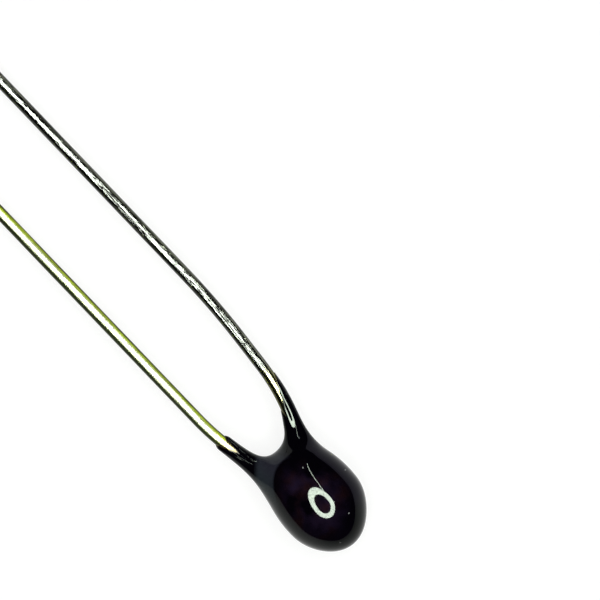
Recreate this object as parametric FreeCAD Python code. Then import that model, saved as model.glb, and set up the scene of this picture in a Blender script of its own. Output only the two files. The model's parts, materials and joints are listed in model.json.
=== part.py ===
import FreeCAD, Part
import math
import os

# A small radial thermistor: a ceramic chip between two soldered wires, dipped in black epoxy.
# Lengths are in millimetres and angles in degrees. The drawing plane holds both wires.
# In it X runs from the cut wire ends to the tip of the bead, Y across the wires,
# Z through the bead's thickness, and the origin is the middle of the chip.

# Wires
WIRE_DIAMETER = 0.30
WIRE_PITCH = 2.20             # between the two straight stretches
PAIR_OFFSET = 0.32            # the pair stands this far to the +Y side of the chip
WIRE_REACH = 25.0             # from the middle of the chip to the cut ends
CUT_END_CHAMFER = 0.03

# Wire a comes in towards the bead in two bends, and is set down on the chip by a third
WIRE_A_FIRST_BEND = 5.10      # bends are placed by their distance from the middle of the chip
WIRE_A_FIRST_RADIUS = 20.0
WIRE_A_SECOND_BEND = 2.50
WIRE_A_SECOND_RADIUS = 5.0
WIRE_A_DRAW_IN = 0.275        # how far it has come in at its second bend
WIRE_A_SEAT_BEND = 0.85
WIRE_A_SEAT_RADIUS = 1.0

# Wire b has one slight bend before the chip
WIRE_B_FIRST_BEND = 2.90
WIRE_B_FIRST_RADIUS = 6.0
WIRE_B_SEAT_BEND = 0.66
WIRE_B_SEAT_RADIUS = 2.0

# Chip and what joins it to the wires
CHIP_SIDE = 1.00
CHIP_THICKNESS = 0.50
ELECTRODE_THICKNESS = 0.02
SOLDER_UNDER_WIRE = 0.02
SOLDER_OVER_WIRE = 0.10
SOLDER_HALF_LENGTH = 0.48
SOLDER_HALF_WIDTH = 0.38
WIRE_PAST_MIDDLE = 0.25       # how far each wire runs along the chip past its middle

# Epoxy bead
BEAD_HALF_LENGTH = 1.335
BEAD_HALF_WIDTH = 0.965
BEAD_HALF_THICKNESS = 0.90
BEAD_FORWARD = 0.04           # the drop hangs a little towards its tip
BEAD_SIDEWAYS = -0.025
BEAD_TURN = -6.6              # its long axis leans towards wire b

# Epoxy necks on the wires, and how widely the wet epoxy rounded its inner corners
NECK_A_REACH = 2.95
NECK_A_EDGE = 0.019           # thickness of the epoxy where it ends on the wire
NECK_A_TAPER = 0.035          # growth in radius for each millimetre towards the bead
NECK_B_REACH = 2.65
NECK_B_EDGE = 0.050
NECK_B_TAPER = 0.018
SHOULDER_BLEND = 1.15
CROTCH_BLEND = 1.37
CROTCH_CENTRE = 2.25          # the sections fan out round an axis this far behind the chip

# Fineness of the bead's skin
NECK_OUTLINES = 3             # on each neck
FAN_OUTLINES = 25             # round the crotch, through the bead
OUTLINE_POINTS = 32
RIM_STEPS = 160               # steps in which the bead's rim is measured
SURFACE_FIT = 1e-6
SEAM_FIT = 1e-4
FOOT_ROUNDS = 20
TILT_ROUNDS = 6

WIRE_RADIUS = WIRE_DIAMETER / 2
WIRE_A_OFFSET = WIRE_PITCH / 2 + PAIR_OFFSET
WIRE_B_OFFSET = PAIR_OFFSET - WIRE_PITCH / 2
PAD_FACE = CHIP_THICKNESS / 2 + ELECTRODE_THICKNESS
WIRE_SEAT = PAD_FACE + SOLDER_UNDER_WIRE + WIRE_RADIUS


def vector(x, y, z=0.0):
    return FreeCAD.Vector(x, y, z)


class Line:
    """A straight stretch of a wire's middle line."""

    def __init__(self, start, end):
        self.start = start
        self.end = end
        self.length = (end - start).Length
        self.direction = (end - start) / self.length

    def edge(self):
        return Part.makeLine(self.start, self.end)

    def distance(self, point):
        along = (point - self.start).dot(self.direction)
        along = min(max(along, 0.0), self.length)
        foot = self.start + self.direction * along
        return (point - foot).Length, foot, self.direction


class Bend:
    """A round bend between two straight stretches, tangent to both."""

    def __init__(self, before, corner, after, radius):
        back = (before - corner).normalize()
        onward = (after - corner).normalize()
        turn = math.pi - back.getAngle(onward)
        setback = radius * math.tan(turn / 2)
        self.radius = radius
        self.start = corner + back * setback
        self.end = corner + onward * setback
        inward = (back + onward).normalize()
        self.centre = corner + inward * (radius / math.cos(turn / 2))
        self.middle = self.centre - inward * radius
        self.turning = 1.0 if back.cross(onward).z < 0 else -1.0

    def edge(self):
        return Part.Arc(self.start, self.middle, self.end).toShape()

    def distance(self, point):
        flat = vector(point.x, point.y) - self.centre
        to_middle = self.middle - self.centre
        half_sweep = to_middle.getAngle(self.start - self.centre)
        if flat.getAngle(to_middle) <= half_sweep:
            foot = self.centre + flat.normalize() * self.radius
        elif (point - self.start).Length < (point - self.end).Length:
            foot = self.start
        else:
            foot = self.end
        spoke = (foot - self.centre).normalize()
        tangent = vector(-spoke.y, spoke.x) * self.turning
        return (point - foot).Length, foot, tangent


class WirePath:
    """The middle line of one wire: straight stretches joined by round bends."""

    def __init__(self, corners, radii):
        self.pieces = []
        start = corners[0]
        for before, corner, after, radius in zip(corners, corners[1:], corners[2:], radii):
            bend = Bend(before, corner, after, radius)
            self.pieces.append(Line(start, bend.start))
            self.pieces.append(bend)
            start = bend.end
        self.pieces.append(Line(start, corners[-1]))

    def nearest(self, point):
        """Distance to the middle line, its nearest point and its direction there."""
        return min((piece.distance(point) for piece in self.pieces), key=lambda found: found[0])

    def point_at(self, x):
        """The point of the middle line at a given X."""
        start, end = self.pieces[0].start, self.pieces[-1].end
        point = start + (end - start) * ((x - start.x) / (end.x - start.x))
        for _ in range(FOOT_ROUNDS):
            _, foot, tangent = self.nearest(point)
            point = foot + tangent * ((x - foot.x) / tangent.x)
        return point

    def solid(self):
        first = self.pieces[0]
        ring = Part.Wire(Part.makeCircle(WIRE_RADIUS, first.start, first.direction))
        run = Part.Wire([piece.edge() for piece in self.pieces])
        rod = run.makePipeShell([ring], True, True)
        outer_ends = [edge for edge in rod.Edges if edge.BoundBox.XMax < first.start.x + WIRE_RADIUS]
        rims = [edge for edge in outer_ends if edge.isClosed()]
        return rod.makeChamfer(CUT_END_CHAMFER, rims)


def wire_a_path():
    corners = [
        vector(-WIRE_REACH, WIRE_A_OFFSET),
        vector(-WIRE_A_FIRST_BEND, WIRE_A_OFFSET),
        vector(-WIRE_A_SECOND_BEND, WIRE_A_OFFSET - WIRE_A_DRAW_IN),
        vector(-WIRE_A_SEAT_BEND, WIRE_SEAT),
        vector(WIRE_PAST_MIDDLE, WIRE_SEAT),
    ]
    return WirePath(corners, [WIRE_A_FIRST_RADIUS, WIRE_A_SECOND_RADIUS, WIRE_A_SEAT_RADIUS])


def wire_b_path():
    corners = [
        vector(-WIRE_REACH, WIRE_B_OFFSET),
        vector(-WIRE_B_FIRST_BEND, WIRE_B_OFFSET),
        vector(-WIRE_B_SEAT_BEND, -WIRE_SEAT),
        vector(WIRE_PAST_MIDDLE, -WIRE_SEAT),
    ]
    return WirePath(corners, [WIRE_B_FIRST_RADIUS, WIRE_B_SEAT_RADIUS])


# Ceramic chip, its two fired electrodes and the solder on them

def plate(thickness, middle):
    corner = vector(-CHIP_SIDE / 2, middle - thickness / 2, -CHIP_SIDE / 2)
    return Part.makeBox(CHIP_SIDE, thickness, CHIP_SIDE, corner)


def electrode(side):
    return plate(ELECTRODE_THICKNESS, side * (CHIP_THICKNESS + ELECTRODE_THICKNESS) / 2)


def solder(side, wire):
    """A domed joint on one electrode, holding the end of its wire."""
    height = SOLDER_UNDER_WIRE + WIRE_DIAMETER + SOLDER_OVER_WIRE
    stretch = FreeCAD.Matrix()
    stretch.scale(vector(SOLDER_HALF_LENGTH, height, SOLDER_HALF_WIDTH))
    dome = Part.makeSphere(1.0, vector(0, 0), vector(0, side), 0, 90, 360)
    dome = dome.transformGeometry(stretch)
    dome.translate(vector(0, side * PAD_FACE))
    return dome.cut(wire)


# Epoxy coating: a drop and two necks, run together as the wet epoxy did

def run_together(first, second, width):
    """The smaller of two distances, rounded where they come within the width of each other."""
    closeness = max(width - abs(first - second), 0.0) / width
    return min(first, second) - closeness ** 3 * width / 6


def drop_distance(point):
    """Roughly how far a point lies outside the drop, negative inside it."""
    turn = math.radians(BEAD_TURN)
    x = point.x - BEAD_FORWARD
    y = point.y - BEAD_SIDEWAYS
    along = (x * math.cos(turn) + y * math.sin(turn)) / BEAD_HALF_LENGTH
    across = (y * math.cos(turn) - x * math.sin(turn)) / BEAD_HALF_WIDTH
    through = point.z / BEAD_HALF_THICKNESS
    reach = math.sqrt(along ** 2 + across ** 2 + through ** 2)
    along /= BEAD_HALF_LENGTH
    across /= BEAD_HALF_WIDTH
    through /= BEAD_HALF_THICKNESS
    steepness = math.sqrt(along ** 2 + across ** 2 + through ** 2)
    if steepness == 0.0:
        return -min(BEAD_HALF_LENGTH, BEAD_HALF_WIDTH, BEAD_HALF_THICKNESS)
    return reach * (reach - 1.0) / steepness


class Neck:
    """The epoxy that climbed one wire, thickest at the bead."""

    def __init__(self, path, side, reach, edge, taper):
        self.path = path
        self.side = side
        self.reach = reach
        self.edge = edge
        self.taper = taper

    def distance(self, point):
        off_line, foot, _ = self.path.nearest(point)
        return off_line - WIRE_RADIUS - self.edge - self.taper * max(foot.x + self.reach, 0.0)


class Epoxy:
    """The whole coating, as distances outside its surface and as closed outlines on it."""

    def __init__(self, path_a, path_b):
        self.neck_a = Neck(path_a, 1, NECK_A_REACH, NECK_A_EDGE, NECK_A_TAPER)
        self.neck_b = Neck(path_b, -1, NECK_B_REACH, NECK_B_EDGE, NECK_B_TAPER)
        middle = path_a.point_at(-CROTCH_CENTRE) + path_b.point_at(-CROTCH_CENTRE)
        self.crotch = middle / 2
        self.foot_a = path_a.nearest(self.crotch)[1]
        self.foot_b = path_b.nearest(self.crotch)[1]

    def distance(self, point):
        necks = run_together(
            self.neck_a.distance(point), self.neck_b.distance(point), CROTCH_BLEND)
        return run_together(drop_distance(point), necks, SHOULDER_BLEND)

    def way_out(self, inside, direction, beyond):
        """How far the surface lies from a point in the epoxy, if it is nearer than beyond."""
        near, far = 0.0, beyond
        while far - near > SURFACE_FIT:
            middle = (near + far) / 2
            if self.distance(inside + direction * middle) < 0:
                near = middle
            else:
                far = middle
        return near

    def span(self, across):
        """Where a level ray from the crotch enters the epoxy, and where it leaves it."""
        step = WIRE_RADIUS / 2
        entry = 0.0
        while self.distance(self.crotch + across * entry) > 0:
            entry += step
        leave = entry
        while self.distance(self.crotch + across * (leave + step)) <= 0:
            leave += step
        entry -= self.way_out(self.crotch + across * entry, across * -1, step)
        leave += self.way_out(self.crotch + across * leave, across, step)
        return entry, leave

    def outline(self, inside, across, half_length, half_height):
        """The closed curve in which the plane of the direction across and Z cuts the epoxy."""
        points = []
        for number in range(OUTLINE_POINTS):
            angle = 2 * math.pi * number / OUTLINE_POINTS
            spoke = across * (half_length * math.cos(angle))
            spoke += vector(0, 0, half_height * math.sin(angle))
            beyond = 2 * spoke.Length + WIRE_DIAMETER
            spoke.normalize()
            points.append(inside + spoke * self.way_out(inside, spoke, beyond))
        parameters = [number / OUTLINE_POINTS for number in range(OUTLINE_POINTS + 1)]
        curve = Part.BSplineCurve()
        curve.interpolate(Points=points, PeriodicFlag=True, Parameters=parameters)
        return curve

    def neck_outlines(self, neck, foot):
        """Outlines square to a wire, from the epoxy's end to where the fan begins."""
        outlines = []
        for number in range(NECK_OUTLINES):
            x = -neck.reach + (foot.x + neck.reach) * number / NECK_OUTLINES
            middle = neck.path.point_at(x)
            tangent = neck.path.nearest(middle)[2]
            across = vector(-tangent.y, tangent.x) * neck.side
            outlines.append(self.outline(middle, across, WIRE_RADIUS, WIRE_RADIUS))
        return outlines

    def fan_outlines(self):
        """Outlines in upright planes that turn about the crotch, from one neck to the other."""
        outlines = []
        for across in self.spokes_even_along_rim():
            entry, leave = self.span(across)
            half_length = (leave - entry) / 2
            inside = self.crotch + across * (entry + half_length)
            half_height = min(half_length, BEAD_HALF_THICKNESS)
            outlines.append(self.outline(inside, across, half_length, half_height))
        return outlines

    def spokes_even_along_rim(self):
        """Level directions from the crotch that meet the bead's rim at even distances."""
        first = heading(self.foot_a - self.crotch)
        last = heading(self.foot_b - self.crotch)
        angles = [first + (last - first) * step / RIM_STEPS for step in range(RIM_STEPS + 1)]
        rim = []
        for angle in angles:
            across = vector(math.cos(angle), math.sin(angle))
            rim.append(self.crotch + across * self.span(across)[1])
        travelled = running_total((far - near).Length for near, far in zip(rim, rim[1:]))
        spokes = []
        for number in range(FAN_OUTLINES):
            wanted = travelled[-1] * number / (FAN_OUTLINES - 1)
            place = max(step for step in range(RIM_STEPS) if travelled[step] <= wanted)
            share = (wanted - travelled[place]) / (travelled[place + 1] - travelled[place])
            angle = angles[place] + (angles[place + 1] - angles[place]) * share
            spokes.append(vector(math.cos(angle), math.sin(angle)))
        return spokes

    def solid(self):
        """One skin that follows the first neck, fans round the crotch through the bead and
        follows the second neck, closed by a flat face where the epoxy ends on each wire."""
        outlines = self.neck_outlines(self.neck_a, self.foot_a)
        outlines += self.fan_outlines()
        outlines += reversed(self.neck_outlines(self.neck_b, self.foot_b))
        skin = skin_through(outlines).toShape()
        rims = [edge for edge in skin.Edges if edge.isClosed() and not edge.isSeam(skin)]
        ends = [Part.Face(Part.Wire(rim)) for rim in rims]
        solid = Part.Solid(Part.Shell([skin] + ends))
        solid.fix(SEAM_FIT, SEAM_FIT, SEAM_FIT)
        return solid


def heading(level):
    return math.atan2(level.y, level.x)


def running_total(lengths):
    totals = [0.0]
    for length in lengths:
        totals.append(totals[-1] + length)
    return totals


def skin_through(outlines):
    """One smooth tube of surface through closed curves that share their parameters."""
    rows = [curve.getPoles() for curve in outlines]
    strides = []
    for row, following in zip(rows, rows[1:]):
        gaps = [(near - far).Length for near, far in zip(row, following)]
        strides.append(sum(gaps) / len(gaps))
    travelled = running_total(strides)
    parameters = [distance / travelled[-1] for distance in travelled]
    columns = []
    for column in zip(*rows):
        curve = Part.BSplineCurve()
        curve.interpolate(Points=list(column), Parameters=parameters)
        columns.append(curve)
    poles = [list(row) for row in zip(*[curve.getPoles() for curve in columns])]
    along, around = columns[0], outlines[0]
    surface = Part.BSplineSurface()
    surface.buildFromPolesMultsKnots(
        poles,
        along.getMultiplicities(), around.getMultiplicities(),
        along.getKnots(), around.getKnots(),
        False, True, along.Degree, around.Degree)
    return surface


# Rest position: the belly of the bead and both cut ends touch the ground

def tilted(shape, tilt):
    turned = shape.copy()
    turned.rotate(vector(0, 0), vector(0, 1), -math.degrees(tilt))
    return turned


def lowest(shape):
    return shape.optimalBoundingBox(False, False).ZMin


def resting_tilt(coating):
    """The slope at which the ground meets both the belly and the wires' ends."""
    lever = WIRE_REACH - CUT_END_CHAMFER
    tilt = 0.0
    for _ in range(TILT_ROUNDS):
        belly = -lowest(tilted(coating, tilt))
        tilt = math.asin((belly - WIRE_RADIUS * math.cos(tilt)) / lever)
    return tilt


def laid_at_rest(nodes):
    """Turns and moves all the pieces together, onto the ground and centred over the origin."""
    tilt = resting_tilt(nodes["coating"])
    laid = {name: tilted(shape, tilt) for name, shape in nodes.items()}
    ground = lowest(laid["coating"])
    box = Part.makeCompound(list(laid.values())).optimalBoundingBox(False, False)
    for shape in laid.values():
        shape.translate(vector(-box.Center.x, -box.Center.y, -ground))
    return laid


def build():
    path_a = wire_a_path()
    path_b = wire_b_path()
    nodes = {}
    nodes["lead_a"] = path_a.solid()
    nodes["lead_b"] = path_b.solid()
    nodes["chip"] = plate(CHIP_THICKNESS, 0.0)
    nodes["electrode_a"] = electrode(1)
    nodes["electrode_b"] = electrode(-1)
    nodes["solder_a"] = solder(1, nodes["lead_a"])
    nodes["solder_b"] = solder(-1, nodes["lead_b"])
    coating = Epoxy(path_a, path_b).solid()
    for inner_piece in nodes.values():
        coating = coating.cut(inner_piece)
    nodes["coating"] = coating
    return laid_at_rest(nodes)


def main():
    os.makedirs("parts", exist_ok=True)
    for name, shape in build().items():
        shape.exportStep("parts/" + name + ".step")


main()
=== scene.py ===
"""Dresses a small bead thermistor: two bare drawn wires and the black epoxy bead that joins them.

The drawing plane of the part holds both wires. In it X runs from the cut wire ends to the tip of
the bead, Y across the wires and Z through the bead's thickness, and the origin is the middle of the
chip. The part lies in that plane's rest position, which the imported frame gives.
"""

import json
import math

import bpy
import numpy as np
from bpy.props import (
    FloatProperty,
    FloatVectorProperty,
    IntProperty,
    PointerProperty,
)
from mathutils import Matrix, Vector


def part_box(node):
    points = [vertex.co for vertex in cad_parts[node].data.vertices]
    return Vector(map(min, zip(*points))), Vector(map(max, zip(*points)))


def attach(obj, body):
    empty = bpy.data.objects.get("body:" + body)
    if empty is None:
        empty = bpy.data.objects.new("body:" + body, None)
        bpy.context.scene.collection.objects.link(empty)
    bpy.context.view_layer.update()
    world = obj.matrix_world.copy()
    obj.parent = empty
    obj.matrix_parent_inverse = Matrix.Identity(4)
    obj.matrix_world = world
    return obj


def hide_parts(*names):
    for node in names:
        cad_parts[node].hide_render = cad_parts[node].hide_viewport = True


bl_info = {
    "name": "Bead thermistor",
    "version": (1, 0, 0),
    "blender": (4, 5, 0),
    "location": "3D View > Sidebar > Thermistor",
    "description": "Builds the wires, the epoxy coating and the table of a bead thermistor",
    "category": "Add Mesh",
}

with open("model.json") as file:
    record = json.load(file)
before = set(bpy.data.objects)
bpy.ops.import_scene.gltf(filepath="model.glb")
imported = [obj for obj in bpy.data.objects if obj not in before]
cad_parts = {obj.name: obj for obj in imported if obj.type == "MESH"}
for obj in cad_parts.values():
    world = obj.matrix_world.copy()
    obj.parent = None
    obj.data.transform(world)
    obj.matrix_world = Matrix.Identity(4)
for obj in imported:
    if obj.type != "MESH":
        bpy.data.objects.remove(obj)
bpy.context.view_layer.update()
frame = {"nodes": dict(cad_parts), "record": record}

MM = 0.001


def length(name, description, millimetres, low=0.0):
    return FloatProperty(
        name=name, description=description, default=millimetres * MM,
        min=low * MM, unit="LENGTH", precision=6)


def number(name, description, default, low=0.0, high=1.0):
    return FloatProperty(name=name, description=description, default=default, min=low, max=high)


def whole(name, description, default, low=8):
    return IntProperty(name=name, description=description, default=default, min=low)


def colour(name, description, default):
    return FloatVectorProperty(
        name=name, description=description, default=default, min=0.0, max=1.0, subtype="COLOR")


def angle(name, description, degrees):
    return FloatProperty(
        name=name, description=description, default=math.radians(degrees), unit="ROTATION")


# Settings

class WireSettings(bpy.types.PropertyGroup):
    """Sizes and colours of the two wires."""

    diameter: length("Diameter", "Thickness of each bare wire", 0.30)
    pitch: length("Pitch", "Distance between the two straight stretches", 2.20)
    pair_offset: length("Pair offset", "How far the pair stands to one side of the chip", 0.32)
    reach: length("Reach", "From the middle of the chip to the cut ends", 25.0)
    cut_rim: length("Cut rim", "Rounding of the rim at the cut ends", 0.03)
    seat: length("Seat", "From the middle of the chip to a wire soldered on it", 0.44)
    past_middle: length("Past middle", "How far each wire runs past the chip's middle", 0.25)
    a_first_bend: length("First bend, wire a", "From the chip to that bend", 5.10)
    a_first_radius: length("First radius, wire a", "Radius of that bend", 20.0)
    a_second_bend: length("Second bend, wire a", "From the chip to that bend", 2.50)
    a_second_radius: length("Second radius, wire a", "Radius of that bend", 5.0)
    a_draw_in: length("Draw-in, wire a", "How far it has come in at its second bend", 0.275)
    a_seat_bend: length("Seat bend, wire a", "From the chip to that bend", 0.85)
    a_seat_radius: length("Seat radius, wire a", "Radius of that bend", 1.0)
    b_first_bend: length("First bend, wire b", "From the chip to that bend", 2.90)
    b_first_radius: length("First radius, wire b", "Radius of that bend", 6.0)
    b_seat_bend: length("Seat bend, wire b", "From the chip to that bend", 0.66)
    b_seat_radius: length("Seat radius, wire b", "Radius of that bend", 2.0)
    rings: whole("Rings", "Rings of faces along a wire", 320)
    sides: whole("Sides", "Faces round a wire", 128)
    bend_steps: whole("Bend steps", "Points on the middle line of each bend", 24)
    wander: length("Wander", "How far the wires stray from straight", 0.012)
    wander_length: length("Wander length", "Distance over which they stray", 3.5)
    streak_depth: length("Streak depth", "Depth of the marks that drawing left", 0.0018)
    streak_width: length("Streak width", "Width of one such mark", 0.045)
    streak_length: length("Streak length", "Length of one such mark", 2.6)
    grey: colour("Grey", "Colour of wire a's tinned metal", (0.088, 0.092, 0.085))
    # Wire a's sides carry painted shade, and the line along its other side is a painted reflection
    painted_grey_shade: colour("Dark grey", "Its stained sides", (0.048, 0.050, 0.045))
    painted_pale_reflection: colour("Pale grey", "The line along its other side", (0.17, 0.18, 0.13))
    cream: colour("Cream", "Colour of wire b's metal", (0.26, 0.275, 0.18))
    # Wire b's sides carry painted shade, and its green line is a painted reflection
    painted_olive_shade: colour("Dark olive", "Its stained sides", (0.024, 0.034, 0.010))
    green: colour("Green", "The line along its other side", (0.40, 0.50, 0.03))
    a_roughness: number("Roughness, wire a", "Roughness of the drawn metal", 0.16)
    b_roughness: number("Roughness, wire b", "Roughness of the drawn metal", 0.42)
    a_marks: number("Marks, wire a", "How clear its marks are", 1.0)
    b_marks: number("Marks, wire b", "How clear its marks are", 0.3)
    a_seed: whole("Seed, wire a", "Chooses its marks and how it strays", 3, low=0)
    b_seed: whole("Seed, wire b", "Chooses its marks and how it strays", 11, low=0)


class CoatingSettings(bpy.types.PropertyGroup):
    """Sizes and colours of the dipped epoxy."""

    half_length: length("Half length", "Half the drop's length", 1.335)
    half_width: length("Half width", "Half the drop's width", 0.965)
    half_thickness: length("Half thickness", "Half the drop's thickness", 0.90)
    forward: length("Forward", "How far the drop hangs towards its tip", 0.04)
    sideways: length("Sideways", "How far the drop hangs towards wire b", 0.025)
    turn: angle("Turn", "How far its long axis leans towards wire b", 6.6)
    a_reach: length("Reach on wire a", "From the chip to where the epoxy ends on wire a", 2.95)
    a_edge: length("Edge on wire a", "Its thickness there", 0.019)
    a_taper: number("Taper on wire a", "Its growth in radius towards the bead", 0.035)
    b_reach: length("Reach on wire b", "From the chip to where the epoxy ends on wire b", 2.65)
    b_edge: length("Edge on wire b", "Its thickness there", 0.050)
    b_taper: number("Taper on wire b", "Its growth in radius towards the bead", 0.018)
    shoulder: length("Shoulder", "Width of the rounding between necks and drop", 1.15)
    crotch: length("Crotch", "Width of the rounding between the two necks", 1.37)
    crotch_centre: length("Crotch centre", "Axis of the fan of outlines, behind the chip", 2.25)
    neck_outlines: whole("Neck outlines", "Outlines along each neck", 40)
    fan_outlines: whole("Fan outlines", "Outlines round the crotch", 250)
    outline_points: whole("Outline points", "Points on each outline", 192)
    a_outer_start: length("Outer start, wire a", "Where it starts on the outer side", 2.94)
    a_tongue: length("Tongue, wire a", "Where it starts over the tongue of bare wire", 2.04)
    a_inner_start: length("Inner start, wire a", "Where it starts on the inner side", 2.10)
    b_outer_start: length("Outer start, wire b", "Where it starts on the outer side", 2.64)
    b_tongue: length("Tongue, wire b", "Where it starts over the tongue of bare wire", 2.60)
    b_inner_start: length("Inner start, wire b", "Where it starts on the inner side", 2.62)
    a_lean: number("Lean, wire a", "Place of that tongue, from 1 outside to -1 inside", -0.40, -1.0)
    b_lean: number("Lean, wire b", "The same for wire b", -0.15, -1.0)
    a_feather: length("Feather, wire a", "Length over which it grows thick on the tongue", 0.10)
    b_feather: length("Feather, wire b", "The same for wire b", 0.65)
    a_side_feather: length("Side feather, wire a", "The same on the sides of wire a", 0.40)
    b_side_feather: length("Side feather, wire b", "The same on the sides of wire b", 0.12)
    a_film: length("Film, wire a", "Length of the thin film before that on the tongue", 0.16)
    b_film: length("Film, wire b", "The same for wire b", 0.55)
    film_depth: length("Film depth", "Thickness of that film where it is thickest", 0.018)
    a_flatness: number("Flatness, neck a", "How much flatter it is than round at its knee", 0.34)
    a_knee: length("Knee, neck a", "From the chip to where it turns up into the bead", 1.43)
    a_knee_end: length("Knee end, neck a", "From the chip to where it is round again", 0.85)
    tuck: length("Tuck", "How far the bare end of the skin lies under the wire's", 0.006)
    black: colour("Black", "Colour of the epoxy", (0.0009, 0.0005, 0.0018))
    violet: colour("Violet", "Its patches over the chip", (0.017, 0.0095, 0.027))
    maroon: colour("Maroon", "Its warmer patches", (0.024, 0.0080, 0.0095))
    # Painted reflection of the table in the web, and its colour towards the outer side
    painted_reflection_blush: colour("Blush", "Its haze in the web", (0.0195, 0.0195, 0.030))
    painted_reflection_teal: colour("Teal", "That haze towards the outer side", (0.0165, 0.0225, 0.0265))
    straw: colour("Straw", "Its colour as a film", (0.17, 0.15, 0.07))
    amber: colour("Amber", "Its colour where it is thin", (0.014, 0.006, 0.0015))
    a_straw: colour("Straw, wire a", "Its colour as a film on wire a", (0.15, 0.13, 0.06))
    dust: colour("Dust", "Colour of the specks on it", (0.35, 0.36, 0.36))
    gleam: colour("Gleam", "Tint of its reflections", (0.90, 1.0, 0.90))
    # The next two tints paint shade on the reflections, on the flank towards wire a and at the tip
    painted_flank_shade: colour("Neck gleam", "That tint on neck a", (0.50, 0.48, 0.75))
    painted_tip_shade: colour("Tip gleam", "That tint at the tip", (0.22, 0.34, 0.20))
    roughness: number("Roughness", "Roughness of its skin", 0.04)
    ior: number("Index of refraction", "Sets how much it mirrors", 1.25, low=1.0, high=3.0)


class StageSettings(bpy.types.PropertyGroup):
    """The table, the lamps and the camera."""

    camera_turn: angle("Camera turn", "Turn of the picture about the upright line of sight", 46.2)
    camera_height: length("Camera height", "Above the part", 120.0)
    frame_width: length("Frame width", "Width of the part of the table in view", 14.4)
    frame_back: length("Frame back", "From the chip to the middle of the view, along", 3.736)
    frame_aside: length("Frame aside", "From the chip to the middle of the view, across", 2.98)
    table_radius: length("Table radius", "From the middle of the table to its raised edge", 3000.0)
    table_edge: length("Table edge", "Height of its raised edge", 200.0)
    ring_height: length("Ring height", "Height of the ring lamp over the part", 60.0)
    ring_inner: length("Ring inner radius", "Radius of its hole", 16.2)
    ring_outer: length("Ring outer radius", "Its outer radius", 27.2)
    ring_ahead: length("Ring ahead", "Its place, along from the chip", 7.0, low=-100.0)
    ring_aside: length("Ring aside", "Its place, across from the chip", 2.0, low=-100.0)
    cord_width: length("Cord width", "Thickness of the ring lamp's cord", 1.3)
    cord_place: angle("Cord place", "Where it leaves the ring, about the upright", 117.0)
    cord_heading: angle("Cord heading", "Its direction, about the upright", 149.5)
    cord_length: length("Cord length", "How far it runs from the ring", 78.0)
    cord_sag: length("Cord sag", "How far it bows sideways", 6.5)
    cord_wave: length("Cord wave", "How far it strays from its bow", 0.35)
    ring_light: number("Ring light", "Strength of its light", 8.0, high=1000.0)
    ring_gleam: number("Ring gleam", "Strength of its reflections", 64.0, high=1000.0)
    ring_tint: colour("Ring tint", "Colour of its light", (0.96, 1.0, 0.93))
    room_gleam: number("Room gleam", "Strength of the room in reflections", 0.012)
    room_fill: number("Room fill", "Strength of its light in shadows", 0.25)
    table_grey: number("Table grey", "How much light the table sends on to the part", 0.8)
    shadow_grey: number("Shadow grey", "How much of the light it shows, with the shadow", 0.24)
    table_glow: number("Table glow", "What fills that up to white", 0.81)
    steps: whole("Steps", "Straight edges round the lamp and the table", 96)


# The drawing plane and the wires' middle lines, in metres

def drawing_plane():
    """The matrix that takes a point of the drawing plane to where it lies at rest."""
    low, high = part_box("chip")
    middle = (low + high) / 2
    mount = next(m for m in frame["record"]["mounts"] if m["name"] == "lead_a_wire")
    along = -Vector(mount["axis"]).normalized()
    across = Vector((0.0, 1.0, 0.0))
    upward = along.cross(across)
    turned = Matrix((along, across, upward)).transposed().to_4x4()
    return Matrix.Translation(middle) @ turned


def laid_at_rest(points):
    """Points of the drawing plane, as an array of rows, moved to where they lie at rest."""
    place = np.array(drawing_plane())
    return points @ place[:3, :3].T + place[:3, 3]


def unit(vectors):
    return vectors / np.linalg.norm(vectors, axis=-1, keepdims=True)


class Straight:
    """A straight stretch of a wire's middle line."""

    def __init__(self, start, end):
        self.start = start
        self.end = end
        self.length = np.linalg.norm(end - start)
        self.direction = (end - start) / self.length

    def feet(self, points):
        along = np.clip((points - self.start) @ self.direction, 0.0, self.length)
        return self.start + along[:, None] * self.direction

    def walk(self, step):
        count = max(int(self.length / step), 2)
        return self.start + np.linspace(0.0, 1.0, count)[:, None] * (self.end - self.start)


class Bend:
    """A round bend between two straight stretches, tangent to both."""

    def __init__(self, before, corner, after, radius):
        back = unit(before - corner)
        onward = unit(after - corner)
        turn = math.pi - math.acos(back @ onward)
        setback = radius * math.tan(turn / 2)
        inward = unit(back + onward)
        self.radius = radius
        self.start = corner + back * setback
        self.end = corner + onward * setback
        self.centre = corner + inward * radius / math.cos(turn / 2)
        self.middle = -inward
        self.half_sweep = turn / 2

    def feet(self, points):
        spokes = unit(points - self.centre)
        on_arc = spokes @ self.middle >= math.cos(self.half_sweep)
        to_start = np.linalg.norm(points - self.start, axis=1)
        to_end = np.linalg.norm(points - self.end, axis=1)
        nearer = np.where((to_start < to_end)[:, None], self.start, self.end)
        return np.where(on_arc[:, None], self.centre + spokes * self.radius, nearer)

    def walk(self, step):
        sweep = 2 * self.half_sweep
        count = max(int(self.radius * sweep / step), 4)
        first = self.start - self.centre
        turning = np.sign(first[0] * (self.end - self.centre)[1]
                          - first[1] * (self.end - self.centre)[0])
        angles = np.linspace(0.0, sweep, count) * turning
        x = first[0] * np.cos(angles) - first[1] * np.sin(angles)
        y = first[0] * np.sin(angles) + first[1] * np.cos(angles)
        return self.centre + np.stack([x, y], axis=1)


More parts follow.
